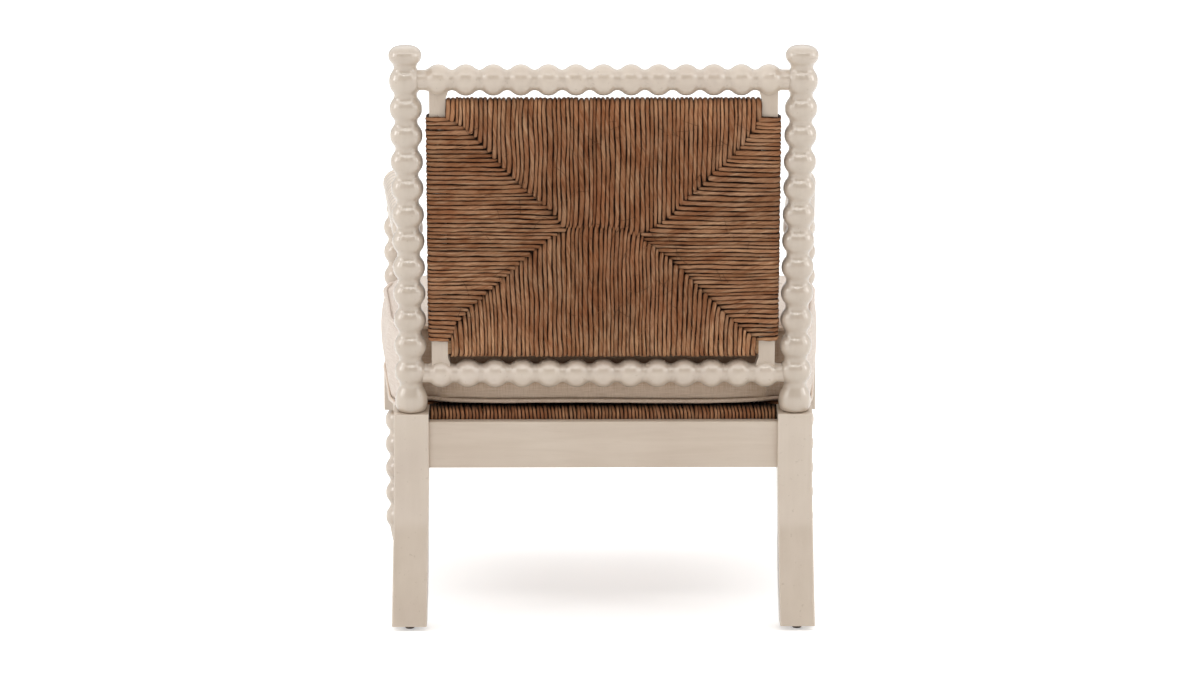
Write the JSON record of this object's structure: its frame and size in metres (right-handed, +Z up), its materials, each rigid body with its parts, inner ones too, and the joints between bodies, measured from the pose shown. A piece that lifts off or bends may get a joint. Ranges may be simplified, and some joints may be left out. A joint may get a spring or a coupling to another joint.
{
  "type": "bobbin-turned armchair",
  "caption": "Bobbin-turned open armchair with a raked rush back panel, a rush drop-in seat, swept square rear legs and a loose box cushion.",
  "frame": {"origin": "on the floor, in the middle of the chair's bounding box", "axes": "+Z up, the sitter faces -Y, +X is the sitter's left"},
  "size_m": [0.6948, 0.7062, 0.8568],
  "materials": {
    "cream_lacquer": "cream lacquer, glossy on the turnings and satin on the flat faces",
    "bare_wood": "bare planed hardwood",
    "rush": "twisted natural rush cord",
    "stuffing": "loose dry rush packing",
    "screw_steel": "zinc-plated steel",
    "glide": "dark brown moulded plastic",
    "linen": "plain-weave oatmeal linen",
    "foam": "open-cell seat foam",
    "zip_tape": "woven zip tape"
  },
  "bodies": {
    "chair": {"rear_post_left": "cream_lacquer", "front_leg_left": "cream_lacquer", "arm_left": "cream_lacquer", "rear_post_right": "cream_lacquer", "front_leg_right": "cream_lacquer", "arm_right": "cream_lacquer", "back_top_rail": "cream_lacquer", "back_bottom_rail": "cream_lacquer", "back_stile_left": "cream_lacquer", "back_stile_right": "cream_lacquer", "back_panel_top_bar": "bare_wood", "back_panel_bottom_bar": "bare_wood", "rush_back_weave": "rush", "rush_back_stuffing": "stuffing", "seat_rail_rear": "cream_lacquer", "seat_rail_front": "cream_lacquer", "seat_rail_left": "cream_lacquer", "seat_rail_right": "cream_lacquer", "seat_frame_left_bar": "bare_wood", "seat_frame_right_bar": "bare_wood", "seat_frame_rear_bar": "bare_wood", "seat_frame_front_bar": "bare_wood", "rush_seat_weave": "rush", "rush_seat_stuffing": "stuffing", "corner_block_front_left": "bare_wood", "corner_block_front_right": "bare_wood", "corner_block_rear_left": "bare_wood", "corner_block_rear_right": "bare_wood", "corner_block_screws": "screw_steel", "seat_screws": "screw_steel", "leg_glides": "glide", "glide_nails": "screw_steel"},
    "cushion": {"cushion_bottom_panel": "linen", "cushion_top_panel": "linen", "cushion_boxing": "linen", "cushion_foam": "foam", "cushion_piping_bottom": "linen", "cushion_piping_top": "linen", "cushion_zip": "zip_tape"}
  },
  "joints": [
    {"name": "cushion_lift", "type": "slide", "parent": "chair", "child": "cushion", "axis": [0, 0, 1], "range_m": [0, 0.1]}
  ]
}
